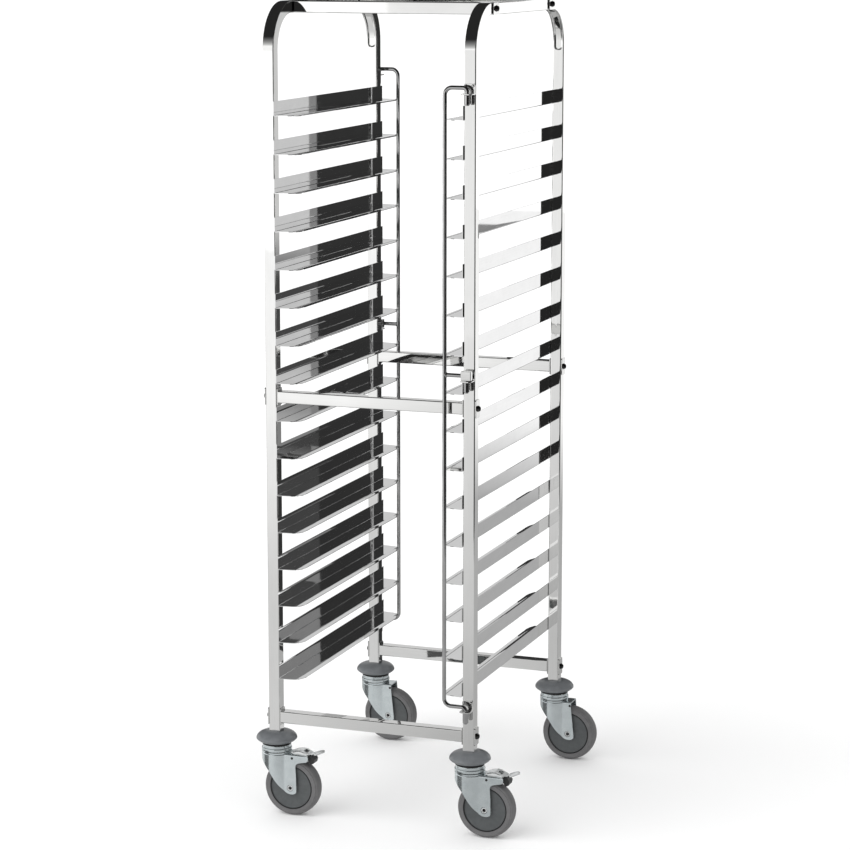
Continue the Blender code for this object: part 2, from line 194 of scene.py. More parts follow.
def plated_zinc(name, dark, light, metallic):
    """Bright zinc plate: soft cool mottling, a fine dimpled skin and darker rubbed spots."""
    look = Look(name, metallic)
    clouds = look.noise((45.0, 45.0), 4.0, 0.5)
    spots = look.span(look.noise((380.0, 380.0), 2.0, 0.5, seed=4.0), 0.0, 1.0, 0.68, 0.80)
    skin = look.noise((260.0, 260.0), 2.0, 0.5, seed=1.3)
    colour = look.mix(look.span(clouds, 0.0, 1.0), dark, light)
    colour = look.mix(look.math("MULTIPLY", spots, 0.10), colour, (0.46, 0.49, 0.50))
    gloss = look.math("ADD", look.span(clouds, 0.17, 0.22), look.math("MULTIPLY", spots, 0.05))
    return look.finish(colour, gloss, skin, 5.0e-6, 0.25)


def moulded(name, dark, light, smooth, rough, coat=0.0):
    """Moulded plastic or rubber: fine pebble grain, faint dust and pale scuffs."""
    look = Look(name, 0.0, coat)
    pebble = look.cells((1400.0, 1400.0)).outputs["Distance"]
    dust = look.noise((60.0, 60.0), 5.0, 0.65, seed=2.0)
    scuff = look.span(look.noise((70.0, 700.0), 3.0, 0.6, seed=9.0), 0.0, 1.0, 0.66, 0.74)
    colour = look.mix(look.span(dust, 0.0, 1.0), dark, light)
    pale = tuple(min(1.0, c * 1.5 + 0.02) for c in light)
    colour = look.mix(look.math("MULTIPLY", scuff, 0.30), colour, pale)
    gloss = look.math("ADD", look.span(dust, smooth, rough), look.math("MULTIPLY", scuff, 0.10))
    return look.finish(colour, gloss, pebble, 2.5e-5, 0.6)


LOOKS = {
    "tube": drawn_steel("polished_tube_steel", (0.90, 0.90, 0.89), (0.95, 0.95, 0.94), 0.016, 0.040),
    "runner": drawn_steel("runner_sheet_steel", (0.87, 0.87, 0.87), (0.94, 0.94, 0.94), 0.012, 0.032),
    "rod": drawn_steel("bright_rod_steel", (0.42, 0.42, 0.42), (0.58, 0.58, 0.58), 0.030, 0.07),
    "bracket": drawn_steel("bracket_sheet_steel", (0.74, 0.74, 0.73), (0.88, 0.88, 0.87), 0.06, 0.12),
    "screw": drawn_steel("dark_screw_steel", (0.05, 0.05, 0.05), (0.12, 0.12, 0.12), 0.20, 0.34),
    "zinc": plated_zinc("zinc_plate", (0.68, 0.74, 0.755), (0.76, 0.82, 0.835), 0.92),
    "pedal": plated_zinc("pedal_plate", (0.80, 0.82, 0.82), (0.88, 0.90, 0.90), 0.60),
    "bumper": moulded("grey_bumper_rubber", (0.115, 0.123, 0.130), (0.150, 0.158, 0.166), 0.34, 0.46, 0.35),
    "tyre": moulded("grey_tyre_rubber", (0.106, 0.105, 0.107), (0.136, 0.134, 0.136), 0.45, 0.58),
    "disc": moulded("wheel_disc_plastic", (0.062, 0.067, 0.069), (0.080, 0.086, 0.088), 0.34, 0.46),
    "black": moulded("black_seal_rubber", (0.004, 0.004, 0.004), (0.010, 0.010, 0.010), 0.45, 0.60),
    "shoe": moulded("brake_shoe_plastic", (0.012, 0.012, 0.012), (0.026, 0.026, 0.026), 0.32, 0.46),
}


# ---- Mesh helpers -------------------------------------------------------------------------
def mesh_from(name, build, sharp=32.0):
    bm = bmesh.new()
    layer = bm.loops.layers.uv.new(GRAIN)
    build(bm, layer)
    bmesh.ops.remove_doubles(bm, verts=bm.verts, dist=1e-7)
    bmesh.ops.recalc_face_normals(bm, faces=bm.faces)
    mesh = bpy.data.meshes.new(name)
    bm.to_mesh(mesh)
    bm.free()
    mesh.shade_smooth()
    mesh.set_sharp_from_angle(angle=math.radians(sharp))
    return mesh


def skin(bm, layer, rings, wrap=True, close=False, caps=False):
    """Quads through rings of points. The grain map gets (along, around) in metres."""
    verts = [[bm.verts.new(point) for point in ring] for ring in rings]
    count = len(rings[0])
    widest = max(rings, key=lambda ring: sum((a - b).length for a, b in zip(ring, ring[1:])))
    around = [0.0]
    for i in range(count):
        around.append(around[-1] + (widest[(i + 1) % count] - widest[i]).length)
    along = [0.0]
    for first, second in zip(rings, rings[1:] + rings[:1]):
        step = sum((a - b).length for a, b in zip(first, second)) / count
        along.append(along[-1] + step)
    for k in range(len(rings) if close else len(rings) - 1):
        first, second = verts[k], verts[(k + 1) % len(rings)]
        for i in range(count if wrap else count - 1):
            j = (i + 1) % count
            face = bm.faces.new((first[i], first[j], second[j], second[i]))
            spots = ((k, i), (k, i + 1), (k + 1, i + 1), (k + 1, i))
            for loop, (row, column) in zip(face.loops, spots):
                loop[layer].uv = (along[row], around[column])
    if caps:
        bm.faces.new(verts[0])
        bm.faces.new(verts[-1])


def box_grain(bm, layer, swap=False):
    """Lays the grain map on every face from the two axes that it faces least."""
    bm.normal_update()
    for face in bm.faces:
        axis = max(range(3), key=lambda i: abs(face.normal[i]))
        a, b = ((1, 2), (0, 2), (0, 1))[axis]
        for loop in face.loops:
            spot = (loop.vert.co[a], loop.vert.co[b])
            loop[layer].uv = spot[::-1] if swap else spot


def circle(radius, sides, phase=0.0):
    angles = [math.tau * (i + phase) / sides for i in range(sides)]
    return [Vector((radius * math.cos(a), radius * math.sin(a))) for a in angles]


def arc(centre, radius, start, stop, steps):
    """Points on an arc, angles in degrees."""
    points = []
    for step in range(steps + 1):
        angle = math.radians(start + (stop - start) * step / steps)
        points.append(Vector(centre) + radius * Vector((math.cos(angle), math.sin(angle))))
    return points


def rounded_rectangle(half_a, half_b, radius, steps=4):
    points = []
    for sign_a, sign_b, start in ((1, 1, 0), (-1, 1, 90), (-1, -1, 180), (1, -1, 270)):
        centre = (sign_a * (half_a - radius), sign_b * (half_b - radius))
        points += arc(centre, radius, start, start + 90, steps)
    return points


def rounded_polygon(corners, radius, steps=4):
    """Closed outline whose corners are cut to arcs; radius is one size or one per corner."""
    corners = [Vector(corner) for corner in corners]
    radii = radius if isinstance(radius, (list, tuple)) else [radius] * len(corners)
    points = []
    for i, corner in enumerate(corners):
        come = (corner - corners[i - 1]).normalized()
        leave = (corners[(i + 1) % len(corners)] - corner).normalized()
        turn = math.atan2(come.x * leave.y - come.y * leave.x, come.dot(leave))
        if abs(turn) < 1e-4 or radii[i] == 0:
            points.append(corner)
            continue
        side = math.copysign(1.0, turn)
        start = corner - come * radii[i] * math.tan(abs(turn) / 2)
        centre = start + side * radii[i] * Vector((-come.y, come.x))
        for step in range(steps + 1):
            points.append(centre + Matrix.Rotation(turn * step / steps, 2) @ (start - centre))
    return points


def rounded_path(corners, radii, steps):
    """Stations (point, direction) along a flat path whose inner corners are rounded."""
    corners = [Vector(corner) for corner in corners]
    first = (corners[1] - corners[0]).normalized()
    last = (corners[-1] - corners[-2]).normalized()
    stations = [(corners[0], first)]
    for before, corner, after, radius in zip(corners, corners[1:], corners[2:], radii):
        come = (corner - before).normalized()
        leave = (after - corner).normalized()
        turn = math.atan2(come.x * leave.y - come.y * leave.x, come.dot(leave))
        side = math.copysign(1.0, turn)
        start = corner - come * radius * math.tan(abs(turn) / 2)
        centre = start + side * radius * Vector((-come.y, come.x))
        for step in range(steps + 1):
            spin = Matrix.Rotation(turn * step / steps, 2)
            stations.append((centre + spin @ (start - centre), spin @ come))
    stations.append((corners[-1], last))
    return stations


def curve_through(points, steps):
    """Smooth line through every point (Catmull-Rom)."""
    points = [Vector(point) for point in points]
    ends = [points[0] * 2 - points[1], *points, points[-1] * 2 - points[-2]]
    line = [points[0]]
    for a, b, c, d in zip(ends, ends[1:], ends[2:], ends[3:]):
        for step in range(1, steps + 1):
            t = step / steps
            spot = b * 2 + (c - a) * t + (a * 2 - b * 5 + c * 4 - d) * t * t
            spot += (b * 3 - a - c * 3 + d) * t * t * t
            line.append(spot / 2)
    return line


def upright(a, b, along):
    return Vector((a, b, along))


def sideways(a, b, along):
    return Vector((a, along, b))


def crosswise(a, b, along):
    return Vector((along, a, b))


def slab(name, outline, place, low, high, bevel=0.0, steps=2):
    """Solid of a flat outline between two planes, with its edges softly rounded."""
    def build(bm, layer):
        rings = [[place(a, b, along) for a, b in outline] for along in (low, high)]
        skin(bm, layer, rings, caps=True)
        bmesh.ops.remove_doubles(bm, verts=bm.verts, dist=1e-7)
        bmesh.ops.recalc_face_normals(bm, faces=bm.faces)
        if bevel:
            rim = [e for e in bm.edges if len(e.link_faces) == 2
                   and e.calc_face_angle() > math.radians(50)]
            bmesh.ops.bevel(bm, geom=rim, offset=bevel, segments=steps, profile=0.5,
                            affect="EDGES", clamp_overlap=True)
        box_grain(bm, layer)
    return mesh_from(name, build)


def turned(name, profile, sides, place, closed=False, sharp=32.0):
    """Profile of (radius, height) turned round an axis."""
    def build(bm, layer):
        rings = []
        for radius, height in profile:
            rings.append([place(spot.x, spot.y, height) for spot in circle(radius, sides)])
        skin(bm, layer, rings, close=closed)
    return mesh_from(name, build, sharp)


def joined(name, meshes, sharp=32.0):
    """One mesh from several, each given as a mesh or as (mesh, matrix)."""
    bm = bmesh.new()
    for item in meshes:
        mesh, matrix = item if isinstance(item, tuple) else (item, Matrix())
        copy = mesh.copy()
        copy.transform(matrix)
        bm.from_mesh(copy)
        bpy.data.meshes.remove(copy)
    mesh = bpy.data.meshes.new(name)
    bm.to_mesh(mesh)
    bm.free()
    mesh.shade_smooth()
    mesh.set_sharp_from_angle(angle=math.radians(sharp))
    return mesh


def combined(name, base, steps, bevel=0.0):
    """The mesh left after a list of (Boolean operation, mesh) steps on a base mesh."""
    body = bpy.data.objects.new(name, base)
    bpy.context.scene.collection.objects.link(body)
    helpers = []
    for operation, mesh in steps:
        helper = bpy.data.objects.new(f"{name}_helper", mesh)
        bpy.context.scene.collection.objects.link(helper)
        helpers.append(helper)
        modifier = body.modifiers.new("combine", "BOOLEAN")
        modifier.operation = operation
        modifier.solver = "EXACT"
        modifier.object = helper
    if bevel:
        modifier = body.modifiers.new("edge", "BEVEL")
        modifier.width = bevel
        modifier.segments = 2
        modifier.limit_method = "ANGLE"
        modifier.angle_limit = math.radians(50)
        modifier.miter_outer = "MITER_ARC"
    graph = bpy.context.evaluated_depsgraph_get()
    result = bpy.data.meshes.new_from_object(body.evaluated_get(graph))
    result.name = name
    for item in (body, *helpers):
        bpy.data.objects.remove(item)
    bm = bmesh.new()
    bm.from_mesh(result)
    box_grain(bm, bm.loops.layers.uv.get(GRAIN) or bm.loops.layers.uv.new(GRAIN))
    bm.to_mesh(result)
    bm.free()
    result.shade_smooth()
    result.set_sharp_from_angle(angle=math.radians(32))
    return result


def add(name, mesh, look, body, stands_for=(), place=(0, 0, 0), turn=0.0):
    """One named piece on a body of the model."""
    if not mesh.materials:
        mesh.materials.append(LOOKS[look])
    item = bpy.data.objects.new(name, mesh)
    item.location = place
    item.rotation_euler.z = turn
    bpy.context.scene.collection.objects.link(item)
    weighted = item.modifiers.new("flat_faces", "WEIGHTED_NORMAL")
    weighted.keep_sharp = True
    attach(item, body)
    if stands_for:
        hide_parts(*stands_for)
    return item


# ---- Side frames --------------------------------------------------------------------------
def groove_depth(along, across, length):
    """How far the inner wall is pressed in at a place on one bend, 0 to 1."""
    past = max(0.0, abs(along - length / 2) - (length / 2 - GROOVE_HALF))
    edge = GROOVE_HALF - math.hypot(past, across)
    blend = min(1.0, max(0.0, edge / 0.0018))
    return blend * blend * (3 - 2 * blend)


def side_frame_mesh():
    """Inverted U in the plane x = 0, open at both feet, with a pressed groove inside each bend."""
    top = TOP_Z - TUBE / 2
    radius = BEND_RADIUS - TUBE / 2
    corners = [(-POST_Y, FOOT_Z), (-POST_Y, top), (POST_Y, top), (POST_Y, FOOT_Z)]
    stations = rounded_path(corners, [radius] * 2, BEND_STEPS)
    extra = [GROOVE_TAIL * 1.3 * step / 10 for step in range(10, 0, -1)]
    bends = (stations[1:BEND_STEPS + 2], stations[BEND_STEPS + 2:-1])
    path = [stations[0]]
    ranges = []
    for bend in bends:
        start, stop = bend[0], bend[-1]
        before = [(start[0] - start[1] * step, start[1]) for step in extra]
        after = [(stop[0] + stop[1] * step, stop[1]) for step in extra[::-1]]
        ranges.append((len(path), len(path) + len(before) + len(bend) + len(after) - 1))
        path += before + list(bend) + after
    path.append(stations[-1])
    half = TUBE / 2
    inner = [half - TUBE_CORNER - (2 * half - 2 * TUBE_CORNER) * i / 16 for i in range(1, 16)]

    def outline(size, corner, pressed):
        """(across, out) round the tube; the wall at +out is the bend's inner side."""
        points = []
        for k, (a, b) in enumerate(((1, 1), (-1, 1), (-1, -1), (1, -1))):
            points += [tuple(p) for p in arc((a * (size - corner), b * (size - corner)), corner,
                                             90 * k, 90 * k + 90, 4)]
            if k == 0:
                points += [(x, size - pressed(x)) for x in inner if abs(x) < size - corner]
        return points

    def build(bm, layer):
        shells = []
        for size, corner in ((half, TUBE_CORNER), (half - WALL, TUBE_CORNER - WALL)):
            rings = []
            for k, (point, direction) in enumerate(path):
                press = None
                for first, last in ranges:
                    if first <= k <= last:
                        total = sum((path[i + 1][0] - path[i][0]).length for i in range(first, last))
                        done = sum((path[i + 1][0] - path[i][0]).length for i in range(first, k))
                        press = (done, total)
                normal = Vector((direction.y, -direction.x))

                def pressed(x, press=press):
                    return GROOVE_DEPTH * groove_depth(press[0], x, press[1]) if press else 0.0
                ring = []
                for across, out in outline(size, corner, pressed):
                    spot = point + normal * out
                    ring.append(Vector((across, spot.x, spot.y)))
                rings.append(ring)
            shells.append(rings)
            skin(bm, layer, rings)
        for end in (0, -1):
            skin(bm, layer, [shells[0][end], shells[1][end]])
    return mesh_from("side_frame_tube", build, 40)


def make_side_frames():
    mesh = side_frame_mesh()
    for side in ("left", "right"):
        add(f"{side}_frame_tube", mesh, "tube", "rack",
            [f"{side}_side_frame"], (POST_X[side], 0, 0))


# ---- Rails and their end plates -----------------------------------------------------------
PLATE_SHEET = 0.0022
PLATE_TALL = 0.036
OUTER_PLATE = Vector((0.0026, 0.0244, 0.037))
BOLT_RADIUS = 0.0056
BOLT_PROUD = 0.0046


def rail_mesh(half_length):
    def build(bm, layer):
        shells = []
        for size, corner in ((TUBE / 2, TUBE_CORNER), (TUBE / 2 - WALL, TUBE_CORNER - WALL)):
            ring = rounded_rectangle(size, size, corner)
            rings = [[Vector((x, a, b)) for a, b in ring] for x in (-half_length, half_length)]
            shells.append(rings)
            skin(bm, layer, rings)
        for end in (0, -1):
            skin(bm, layer, [shells[0][end], shells[1][end]])
    return mesh_from("rail_tube", build, 40)


def bolt_mesh(radius, proud, socket):
    """Domed round head with a round socket recess, standing on x = 0 and facing +x."""
    profile = [(0, 0), (radius, 0), (radius, proud * 0.35), (radius * 0.93, proud * 0.72),
               (radius * 0.72, proud * 0.95), (socket * 1.15, proud), (socket, proud * 0.96),
               (socket * 0.94, proud * 0.45), (0, proud * 0.40)]
    return turned("bolt_head", profile, 36, lambda a, b, h: Vector((h, a, b)), sharp=50)


def make_rails():
    inner_x = POST_X["right"] - TUBE / 2 - CENTRE_X
    rail = rail_mesh(inner_x - PLATE_SHEET - 0.0002)
    upright_end = rounded_rectangle(TUBE / 2 - 0.0004, PLATE_TALL / 2, 0.0016)
    plate = slab("rail_end_plate", upright_end, crosswise, 0, PLATE_SHEET, 0.0005)
    size = OUTER_PLATE
    outer_end = rounded_rectangle(size.y / 2, size.z / 2, 0.003)
    outer = slab("saddle_plate", outer_end, crosswise, 0, size.x, 0.0006)
    bolt = bolt_mesh(BOLT_RADIUS, BOLT_PROUD, 0.0027)
    washer = turned("washer", [(0, 0), (0.0066, 0), (0.0068, 0.0003), (0.0066, 0.0007), (0, 0.0007)],
                    36, lambda a, b, h: Vector((h, a, b)))
    for level in ("bottom", "middle", "top"):
        for end in ("front", "rear"):
            low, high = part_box(f"{end}_{level}_rail")
            middle = (low + high) / 2
            name = f"{end}_{level}_rail"
            add(f"{name}_tube", rail, "tube", "rack", [name], middle)
            for side in ("left", "right"):
                sign = INWARD[side]
                face_in = POST_X[side] + sign * (TUBE / 2 + 0.0001)
                face_out = POST_X[side] - sign * (TUBE / 2 + 0.0001)
                lying = level == "top"
                tilt = Matrix.Rotation(math.radians(90), 4, "X") if lying else Matrix()
                flip = Matrix.Rotation(TURN[side], 4, "Z")
                at = Matrix.Translation((face_in, middle.y, middle.z)) @ flip @ tilt
                out = Matrix.Translation((face_out, middle.y, middle.z)) @ flip
                out = out @ Matrix.Rotation(math.pi, 4, "Z")
                bolt_at = out @ Matrix.Translation((size.x, 0, 0))
                head_at = bolt_at @ Matrix.Translation((0.0007, 0, 0))
                place = f"{name}_{side}"
                if not lying:
                    add(f"{place}_end_plate", joined(f"{place}_end_plate", [(plate, at)]),
                        "bracket", "rack")
                add(f"{place}_saddle", joined(f"{place}_saddle", [(outer, out @ tilt)]),
                    "bracket", "rack")
                add(f"{place}_bolt", joined(f"{place}_bolt", [(washer, bolt_at), (bolt, head_at)], 50),
                    "screw", "rack")


# ---- Tray runners -------------------------------------------------------------------------
FLANGE_HEIGHT = 0.030
LEDGE = 0.0495
LEDGE_SQUARE = 0.030
HEM = 0.010
HEM_DROP = 0.0010
RUNNER_END_Y = 0.312
LEDGE_END_Y = 0.308
LEDGE_FULL_Y = 0.270
SHEET_BEND = 0.0014
BEAD = 0.0004


def half_length(inward):
    """Half the runner's length at a distance in from the post's face."""
    if inward <= WALL:
        return RUNNER_END_Y
    if inward <= LEDGE_SQUARE:
        share = (inward - WALL) / (LEDGE_SQUARE - WALL)
        return RUNNER_END_Y + (LEDGE_END_Y - RUNNER_END_Y) * share
    reach = min(1.0, (inward - LEDGE_SQUARE) / (LEDGE - LEDGE_SQUARE))
    return LEDGE_FULL_Y + (LEDGE_END_Y - LEDGE_FULL_Y) * math.sqrt(1 - reach * reach)


def runner_line():
    """Middle line of the bent sheet, from the flange's top edge to the ledge's edge."""
    half = WALL / 2
    line = [Vector((half, FLANGE_HEIGHT)), Vector((half, 0.020)), Vector((half, 0.010))]
    line += arc((half + SHEET_BEND, half + SHEET_BEND), SHEET_BEND, 180, 270, 6)
    line += [Vector((x, half)) for x in (0.010, 0.020, 0.030, 0.035, LEDGE - HEM - 0.0012)]
    crest = LEDGE - HEM
    line += [Vector((crest - 0.0006, half + BEAD * 0.5)), Vector((crest, half + BEAD)),
             Vector((crest + 0.0006, half + BEAD * 0.55)), Vector((crest + 0.0012, half + BEAD * 0.1))]
    for step in range(1, 9):
        angle = math.radians(90) * step / 8
        x = crest + 0.0012 + (HEM - 0.0012) * math.sin(angle)
        line.append(Vector((x, half - HEM_DROP * (x - crest) / HEM)))
    return line


def runner_mesh():
    """Angle of sheet; local x runs inward from the post, y along it, z up from the underside."""
    line = runner_line()
    normals = []
    for i, point in enumerate(line):
        ahead = line[min(i + 1, len(line) - 1)] - line[max(i - 1, 0)]
        normals.append(Vector((ahead.y, -ahead.x)).normalized())
    faces = []
    for sign in (-1, 1):
        faces.append([point + normal * sign * WALL / 2 for point, normal in zip(line, normals)])
    ring = faces[0] + faces[1][::-1]
    spans = [half_length(max(0.0, min(LEDGE, point.x))) for point in line]
    lengths = spans + spans[::-1]
    count = len(line)

    def build(bm, layer):
        rings = []
        for sign in (-1, 1):
            rings.append([Vector((p.x, sign * y, p.y)) for p, y in zip(ring, lengths)])
        skin(bm, layer, rings)
        for row in rings:
            verts = [bm.verts.new(point) for point in row]
            for i in range(count - 1):
                j = 2 * count - 1 - i
                bm.faces.new((verts[i], verts[i + 1], verts[j - 1], verts[j]))
    return mesh_from("tray_runner", build, 25)


def make_runners():
    mesh = runner_mesh()
    for side in ("left", "right"):
        for level in range(1, 17):
            name = f"{side}_runner_{level:02d}"
            low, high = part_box(name)
            x = low.x if side == "left" else high.x
            lift = high.z - FLANGE_HEIGHT
            add(f"{name}_sheet", mesh, "runner", "rack", [name],
                (x, 0, lift), TURN[side])


# ---- Swing bars and hinge brackets --------------------------------------------------------
BUSH_RADIUS = 0.0061
BRACKET_WIDTH = 0.0244
BRACKET_HEIGHT = 0.020
BRACKET_SHEET = 0.002
BRACKET_REACH = 0.0255
PIN_SHOWS = 0.0025
ROD_END_ROUND = 0.0012


def rod_mesh(name, stations, radius, sides=28):
    """Round rod along stations in the plane y = 0, with slightly rounded ends."""
    def rounded_end(station, sign):
        """Rings from the tip inward, round a quarter circle."""
        point, direction = station
        steps = []
        for angle in (90, 60, 30, 0):
            bend = math.radians(angle)
            shift = ROD_END_ROUND * (1 - math.cos(bend))
            cut = ROD_END_ROUND * (1 - math.sin(bend))
            steps.append((point + direction * sign * cut, direction, radius - shift))
        return steps

    def build(bm, layer):
        middle = [(point, direction, radius) for point, direction in stations[1:-1]]
        tail = rounded_end(stations[-1], -1)[::-1]
        rings = []
        for point, direction, size in rounded_end(stations[0], 1) + middle + tail:
            normal = Vector((direction.y, -direction.x))
            ring = []
            for across, out in circle(size, sides):
                spot = point + normal * out
                ring.append(Vector((spot.x, across, spot.y)))
            rings.append(ring)
        skin(bm, layer, rings, caps=True)
    return mesh_from(name, build, 50)


def bar_pieces(heights):
    """Rod, middle arm, pin, weld and block, with the pin axis at x = y = 0."""
    top, middle, low = heights
    corners = [(0, top - PIN_DROP), (0, top), (-BAR_REACH, top),
               (-BAR_REACH, low), (0, low), (0, low - PIN_DROP)]
    radii = [PIN_ELBOW, BAR_ELBOW, BAR_ELBOW, PIN_ELBOW]
    rod = rod_mesh("bar_rod", rounded_path(corners, radii, 12), ROD_RADIUS)
    arm_line = [(Vector((-BAR_REACH, middle)), Vector((1, 0))),
                (Vector((-0.030, middle)), Vector((1, 0))), (Vector((-0.004, middle)), Vector((1, 0)))]
    arm = rod_mesh("bar_arm", arm_line, ROD_RADIUS * 0.98)
    pin_line = [(Vector((0, middle - PIN_DROP)), Vector((0, 1))),
                (Vector((0, middle - 0.02)), Vector((0, 1))), (Vector((0, middle)), Vector((0, 1)))]
    pin = rod_mesh("bar_pin", pin_line, ROD_RADIUS * 0.98)
    half = BLOCK / 2
    block = slab("bar_block", rounded_rectangle(half.x, half.y, 0.0012), upright,
                 middle - half.z, middle + half.z, 0.0008)
    weld = turned("bar_weld", [(ROD_RADIUS * 0.9, -0.0005), (0.0058, 0.0), (0.0052, 0.0012),
                               (0.0046, 0.0024), (ROD_RADIUS * 0.9, 0.003)], 28,
                  lambda a, b, h: Vector((-BAR_REACH + ROD_RADIUS * 0.8 + h, a, middle + b)))
    return joined("swing_bar_rod", [rod, arm, pin, weld]), block


def sleeve_mesh(length):
    """Socket tube welded under a shelf; the pin stands in it. The shelf's top is at z = 0."""
    bore = ROD_RADIUS + 0.0003
    top, end = -BRACKET_SHEET, -BRACKET_SHEET - length
    profile = [(bore, top), (BUSH_RADIUS + 0.0007, top), (BUSH_RADIUS + 0.0005, top - 0.0006),
               (BUSH_RADIUS, top - 0.0012), (BUSH_RADIUS, end + 0.0005), (BUSH_RADIUS - 0.0005, end),
               (bore, end)]
    return turned("hinge_sleeve", profile, 40, upright, closed=True)


def bracket_mesh():
    """Plate with rounded corners and a folded shelf, the shelf's top at z = 0."""
    back = PIN_OFFSET - 0.0003
    half = BRACKET_WIDTH / 2
    plate = slab("plate", rounded_polygon([(-half, -0.0015), (half, -0.0015), (half, BRACKET_HEIGHT),
                                           (-half, BRACKET_HEIGHT)], [0.0002, 0.0002, 0.005, 0.005], 6),
                 sideways, back - BRACKET_SHEET, back, 0.0004)
    front = back - BRACKET_REACH
    shelf = slab("shelf", rounded_polygon([(-half, front), (half, front), (half, back - 0.0004),
                                           (-half, back - 0.0004)], [0.006, 0.006, 0.0002, 0.0002], 6),
                 upright, -BRACKET_SHEET, 0, 0.0004)
    bore = turned("bore", [(0, -0.01), (ROD_RADIUS + 0.0004, -0.01), (ROD_RADIUS + 0.0004, 0.01),
                           (0, 0.01)], 32, upright)
    return combined("hinge_bracket_sheet", plate, [("UNION", shelf), ("DIFFERENCE", bore)])


def screw_mesh(radius, proud):
    """Domed screw head facing -y."""
    profile = [(0, 0), (radius, 0), (radius, proud * 0.3), (radius * 0.8, proud * 0.8),
               (radius * 0.45, proud), (radius * 0.42, proud * 0.6), (0, proud * 0.55)]
    return turned("bracket_screw", profile, 28, lambda a, b, h: Vector((a, -h, b)), sharp=50)


def make_swing_bars():
    bracket = bracket_mesh()
    screw = screw_mesh(0.0032, 0.0022)
    rod_low, rod_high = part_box("front_swing_bar")
    top = rod_high.z - ROD_RADIUS
    low = rod_low.z + PIN_DROP
    middle = 0.985
    rod, block = bar_pieces((top, middle, low))
    for end, side, sign in (("front", "right", 1), ("rear", "left", -1)):
        body = f"{end}_bar"
        x = POST_X[side]
        y = -sign * (FACE_Y + PIN_OFFSET)
        turn = 0.0 if sign == 1 else math.pi
        add(f"{end}_bar_rod", rod, "rod", body, [f"{end}_swing_bar"], (x, y, 0), turn)
        add(f"{end}_bar_block", block, "bracket", body, (), (x, y, 0), turn)
        for level, arm_z in (("upper", top), ("lower", low)):
            node = f"{end}_{level}_hinge_bracket"
            box_low, box_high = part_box(node)
            shelf = box_low.z + BRACKET_SHEET
            add(f"{node}_sheet", bracket, "bracket", "rack", [node],
                (x, y, shelf), turn)
            screw_y = y + sign * (PIN_OFFSET - 0.0003 - BRACKET_SHEET)
            for k, dx in enumerate((-0.0072, 0.0072)):
                add(f"{node}_screw_{k + 1}", screw, "bracket", "rack", (),
                    (x + sign * dx, screw_y, shelf + 0.0150), turn)
            length = shelf - BRACKET_SHEET - (arm_z - PIN_DROP) - PIN_SHOWS
            add(f"{node}_sleeve", sleeve_mesh(length), "rod", "rack", (),
                (x, y, shelf), turn)
        shelf = middle - BLOCK.z / 2 - 0.0014
        add(f"{end}_middle_bracket_sheet", bracket, "bracket", "rack", (),
            (x, y, shelf), turn)
        for k, dx in enumerate((-0.0072, 0.0072)):
            add(f"{end}_middle_bracket_screw_{k + 1}", screw, "bracket", "rack", (),
                (x + sign * dx, y + sign * (PIN_OFFSET - 0.0003 - BRACKET_SHEET), shelf + 0.0150), turn)
        length = shelf - BRACKET_SHEET - (middle - PIN_DROP) - PIN_SHOWS
        add(f"{end}_middle_bracket_sleeve", sleeve_mesh(length), "rod", "rack", (),
            (x, y, shelf), turn)


# ---- Casters ------------------------------------------------------------------------------
def bumper_mesh():
    profile = [(0.0, 0.1587), (0.0305, 0.1587), (0.0325, 0.1590)]
    profile += [tuple(p) for p in curve_through([(0.0325, 0.1590), (0.0370, 0.1607), (0.0408, 0.1632),
                                                 (0.0424, 0.1648)], 4)]
    profile += [tuple(p) for p in curve_through([(0.0427, 0.1652), (0.0438, 0.1662), (0.0440, 0.1674),
                                                 (0.0436, 0.1700), (0.0417, 0.1735), (0.0376, 0.1775),
                                                 (0.0312, 0.1808), (0.0235, 0.1829), (0.0170, 0.1835),
                                                 (0.0, 0.1836)], 4)]
    return turned("bumper", profile, 80, upright, sharp=24)


def race_mesh():
    profile = [(0, 0.1315), (0.0130, 0.1315), (0.0132, 0.1318), (0.0132, 0.1350), (0.0085, 0.1350),
               (0.0085, 0.1412), (0.0316, 0.1412), (0.0322, 0.1416), (0.0325, 0.1424), (0.0325, 0.1464),
               (0.0322, 0.1472), (0.0314, 0.1478), (0.0309, 0.1484), (0.0308, 0.1492), (0.0308, 0.1532),
               (0.0304, 0.1542), (0.0296, 0.1546), (0, 0.1546)]
    return turned("swivel_race", profile, 80, upright, sharp=28)


def seal_mesh():
    profile = [(0, 0.1546), (0.0306, 0.1546), (0.0312, 0.1552), (0.0314, 0.1566), (0.0312, 0.1580),
               (0.0306, 0.1587), (0, 0.1587)]
    return turned("seal_ring", profile, 80, upright)


def fork_plan(inset, rear):
    """Outline seen from above: a round nose that runs into two flat sides through fillets."""
    nose, half, fillet = FORK_NOSE - inset, FORK_HALF - inset, FORK_FILLET + inset
    span = FORK_NOSE + FORK_FILLET
    centre_y = FORK_HALF + FORK_FILLET
    centre_x = math.sqrt(span * span - centre_y * centre_y)
    shoulder = math.degrees(math.atan2(centre_y, centre_x))
    points = [Vector((rear, half))]
    points += arc((centre_x, centre_y), fillet, 270, 180 + shoulder, 6)
    points += arc((0, 0), nose, shoulder, 360 - shoulder, 40)[1:-1]
    points += [Vector((p.x, -p.y)) for p in arc((centre_x, centre_y), fillet, 270, 180 + shoulder, 6)[::-1]]
    points.append(Vector((rear, -half)))
    return points


